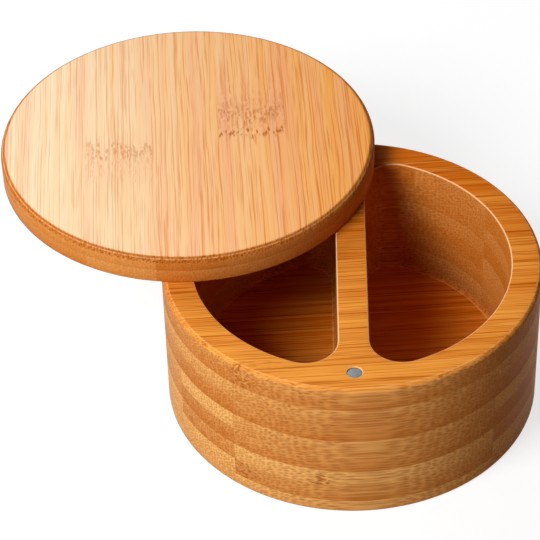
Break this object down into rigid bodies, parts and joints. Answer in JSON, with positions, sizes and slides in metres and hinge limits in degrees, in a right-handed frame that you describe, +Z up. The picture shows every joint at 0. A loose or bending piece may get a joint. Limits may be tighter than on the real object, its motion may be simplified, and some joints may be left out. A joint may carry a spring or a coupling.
{
  "type": "salt box with swivelling lid",
  "caption": "Low round bamboo box with D-shaped pockets either side of a divider and a flat lid that swivels sideways on a hidden pin and is held shut by magnets.",
  "frame": {"origin": "centre of the round base, on the surface that the box stands on", "axes": "+Z up; Y along the divider, with the pivot pin at +Y (back) and the magnet at -Y (front); X to the right"},
  "size_m": [0.1845, 0.1822, 0.0652],
  "materials": {
    "body_bamboo": "sanded laminated bamboo with a thin satin oil finish",
    "lid_bamboo": "sanded laminated bamboo with a thin satin oil finish",
    "pin_steel": "ground steel",
    "magnet_nickel": "dull nickel plating"
  },
  "bodies": {
    "box": {"bottom_ply": "body_bamboo", "floor_ply": "body_bamboo", "wall_ply_1": "body_bamboo", "wall_ply_2": "body_bamboo", "wall_ply_3": "body_bamboo", "wall_ply_4": "body_bamboo", "wall_ply_5": "body_bamboo", "rim_ply": "body_bamboo", "pivot_pin": "pin_steel", "body_magnet": "magnet_nickel"},
    "lid": {"lid_lower_ply": "lid_bamboo", "lid_upper_ply": "lid_bamboo", "lid_magnet": "magnet_nickel"}
  },
  "joints": [
    {"name": "lid_swivel", "type": "hinge", "parent": "box", "child": "lid", "pos_m": [0, 0.056, 0.055], "axis": [0, 0, 1], "range_deg": [-272.3, 87.7]}
  ]
}
